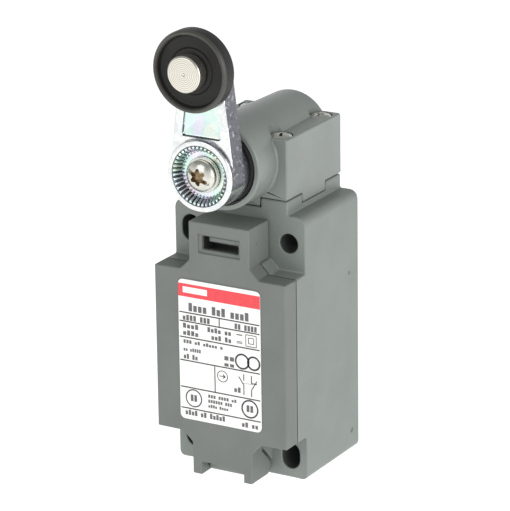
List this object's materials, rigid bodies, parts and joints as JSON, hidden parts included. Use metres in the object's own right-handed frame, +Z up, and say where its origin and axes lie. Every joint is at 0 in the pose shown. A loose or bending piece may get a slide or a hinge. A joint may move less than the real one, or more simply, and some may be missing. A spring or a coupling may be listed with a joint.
{
  "type": "limit switch",
  "caption": "Roller-lever limit switch: grey plastic body with hinged cover, keyed head, sprung zinc lever with black roller, and a double-break contact block inside.",
  "frame": {"origin": "on the rear mounting face, in the middle of the four fixing holes", "axes": "+Y out of the rear face towards the machine, +Z up along the body to the head, +X to the right seen from the front"},
  "size_m": [0.04, 0.0563, 0.128],
  "materials": {
    "grey_plastic": "fine moulded texture",
    "black_plastic": "satin",
    "cream_plastic": "satin",
    "rubber": "matt",
    "label": "white film with a red band",
    "zinc": "die-cast zinc, bright passivated",
    "steel": "plated",
    "brass": "plain"
  },
  "bodies": {
    "body": {"body_housing": "grey_plastic", "head_housing": "grey_plastic", "head_gasket": "rubber", "head_screw_front_left": "steel", "head_screw_front_right": "steel", "head_screw_rear_left": "steel", "head_screw_rear_right": "steel", "shaft_bush": "brass", "shaft_seal": "rubber", "spring_cup": "steel", "return_spring": "steel", "carrier_spring": "steel", "contact_base": "black_plastic", "base_screw_left": "steel", "base_screw_right": "steel", "closed_contact_left": "brass", "closed_contact_right": "brass", "open_contact_left": "brass", "open_contact_right": "brass", "clamp_washer_1": "steel", "clamp_washer_2": "steel", "clamp_washer_3": "steel", "clamp_washer_4": "steel", "terminal_screw_1": "steel", "terminal_screw_2": "steel", "terminal_screw_3": "steel", "terminal_screw_4": "steel"},
    "cover": {"front_cover": "grey_plastic", "cover_gasket": "rubber", "nameplate": "label"},
    "lever": {"lever_arm": "zinc", "lever_washer": "steel", "lever_screw": "steel", "roller_pin": "steel", "shaft": "steel", "cam": "zinc"},
    "roller": {"roller": "black_plastic"},
    "tappet": {"tappet": "cream_plastic"},
    "carrier": {"contact_carrier": "cream_plastic", "closed_bridge": "brass", "open_bridge": "brass", "closed_bridge_spring": "steel", "open_bridge_spring": "steel"}
  },
  "joints": [
    {"name": "lever_turn", "type": "hinge", "parent": "body", "child": "lever", "pos_m": [0, -0.0432, 0.0518], "axis": [0, 1, 0], "range_deg": [-75, 75], "stiffness_Nm_per_rad": 0.15},
    {"name": "roller_spin", "type": "hinge", "parent": "lever", "child": "roller", "pos_m": [0, -0.0511, 0.0807], "axis": [0, 1, 0], "continuous": true},
    {"name": "cover_open", "type": "hinge", "parent": "body", "child": "cover", "pos_m": [0, -0.0352, -0.0333], "axis": [1, 0, 0], "range_deg": [0, 100]},
    {"name": "tappet_slide", "type": "slide", "parent": "body", "child": "tappet", "axis": [0, 0, -1], "range_m": [0, 0.0031], "stiffness_N_per_m": 600, "springref_m": -0.004, "deforming": ["return_spring"]},
    {"name": "carrier_slide", "type": "slide", "parent": "body", "child": "carrier", "axis": [0, 0, -1], "range_m": [0, 0.0031], "stiffness_N_per_m": 200, "springref_m": -0.003, "deforming": ["carrier_spring"]}
  ],
  "couplings": [
    {"joint": "carrier_slide", "follows": "tappet_slide", "ratio": 1}
  ]
}
